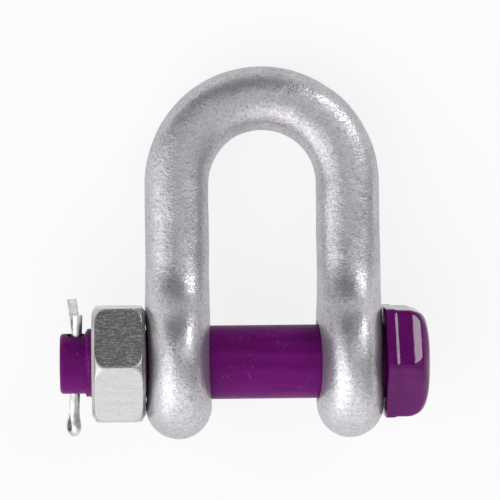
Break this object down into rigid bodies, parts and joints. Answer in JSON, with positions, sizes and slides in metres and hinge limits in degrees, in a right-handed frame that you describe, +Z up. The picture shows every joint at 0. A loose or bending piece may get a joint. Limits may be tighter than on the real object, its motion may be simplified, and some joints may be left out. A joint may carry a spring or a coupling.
{
  "type": "bolt-type chain shackle",
  "caption": "Forged D-shaped chain shackle with a hex-head bolt through its eyes, locked by a hex nut and a split pin.",
  "frame": {"origin": "on the bolt's axis, midway between the eyes", "axes": "+X along the bolt towards its head, +Y towards the crown of the bow, +Z up from the surface that the shackle lies on"},
  "size_m": [0.0461, 0.046, 0.019],
  "materials": {
    "galvanised_forging": "hot-dip galvanised, mottled matt grey",
    "purple_paint": "glossy purple paint",
    "bright_zinc": "bright zinc plate with fine machining lines",
    "pin_wire": "bright plated wire"
  },
  "bodies": {
    "shackle": {"shackle_body": "galvanised_forging"},
    "bolt": {"safety_bolt": "purple_paint"},
    "nut": {"hex_nut": "bright_zinc"},
    "split_pin": {"split_pin": "pin_wire"}
  },
  "joints": [
    {"name": "bolt_turn", "type": "hinge", "parent": "shackle", "child": "bolt", "pos_m": [0, 0, 0], "axis": [1, 0, 0], "range_deg": [0, 190]},
    {"name": "nut_travel", "type": "slide", "parent": "shackle", "child": "nut", "axis": [-1, 0, 0], "range_m": [0, 0.00085]},
    {"name": "split_pin_slide", "type": "slide", "parent": "bolt", "child": "split_pin", "axis": [0.0419, 0.9948, 0.0928], "range_m": [0, 0.0019]}
  ],
  "couplings": [
    {"joint": "nut_travel", "follows": "bolt_turn", "m_per_rad": 0.00025266}
  ]
}
